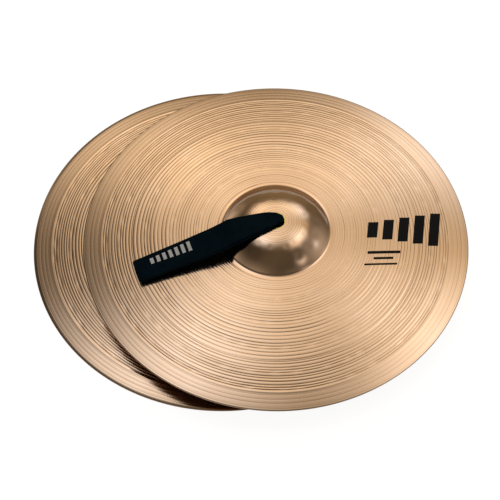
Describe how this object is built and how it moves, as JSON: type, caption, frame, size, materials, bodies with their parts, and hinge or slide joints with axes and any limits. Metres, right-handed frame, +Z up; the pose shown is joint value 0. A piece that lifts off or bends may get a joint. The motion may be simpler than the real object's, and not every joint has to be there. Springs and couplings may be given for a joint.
{
  "type": "hand cymbals",
  "caption": "Pair of round lathed bronze hand cymbals with domed bells, stacked bells up, each with a folded leather hand strap knotted inside its bell.",
  "frame": {"origin": "on the ground under the middle of the pair's bounding box", "axes": "+Z up along both cymbals' axes, out of their bells; +X to the side the top cymbal is slipped towards, the longest extent; +Y away from the player's side"},
  "size_m": [0.4044, 0.3684, 0.0619],
  "materials": {
    "bronze": "lathed bronze with fine concentric grooves, polished bell side",
    "strap_leather": "matt navy-black leather"
  },
  "bodies": {
    "bottom_cymbal": {"bottom_cymbal": "bronze"},
    "bottom_knot": {"bottom_strap_neck": "strap_leather", "bottom_strap_tail_1": "strap_leather", "bottom_strap_tail_2": "strap_leather", "bottom_strap_tail_3": "strap_leather", "bottom_strap_tail_4": "strap_leather"},
    "bottom_grip": {"bottom_strap_grip": "strap_leather"},
    "top_cymbal": {"top_cymbal": "bronze"},
    "top_knot": {"top_strap_neck": "strap_leather", "top_strap_tail_1": "strap_leather", "top_strap_tail_2": "strap_leather", "top_strap_tail_3": "strap_leather", "top_strap_tail_4": "strap_leather"},
    "top_grip": {"top_strap_grip": "strap_leather"}
  },
  "joints": [
    {"name": "top_cymbal_lift", "type": "slide", "parent": "bottom_cymbal", "child": "top_cymbal", "axis": [0, 0, 1], "range_m": [0, 0.3]},
    {"name": "bottom_strap_swivel", "type": "hinge", "parent": "bottom_cymbal", "child": "bottom_knot", "pos_m": [-0.0244, 0.0064, 0.03], "axis": [0, 0, 1], "continuous": true},
    {"name": "bottom_grip_fold", "type": "hinge", "parent": "bottom_knot", "child": "bottom_grip", "pos_m": [-0.0244, 0.0064, 0.03525], "axis": [-0.2537, -0.9673, 0], "range_deg": [0, 150]},
    {"name": "top_strap_swivel", "type": "hinge", "parent": "top_cymbal", "child": "top_knot", "pos_m": [0.0244, -0.0064, 0.0543], "axis": [0, 0, 1], "continuous": true},
    {"name": "top_grip_fold", "type": "hinge", "parent": "top_knot", "child": "top_grip", "pos_m": [0.0244, -0.0064, 0.05955], "axis": [-0.3206, 0.9472, 0], "range_deg": [0, 150]}
  ],
  "couplings": [
    {"joint": "bottom_grip_fold", "follows": "top_cymbal_lift", "rad_per_m": 5.236}
  ]
}
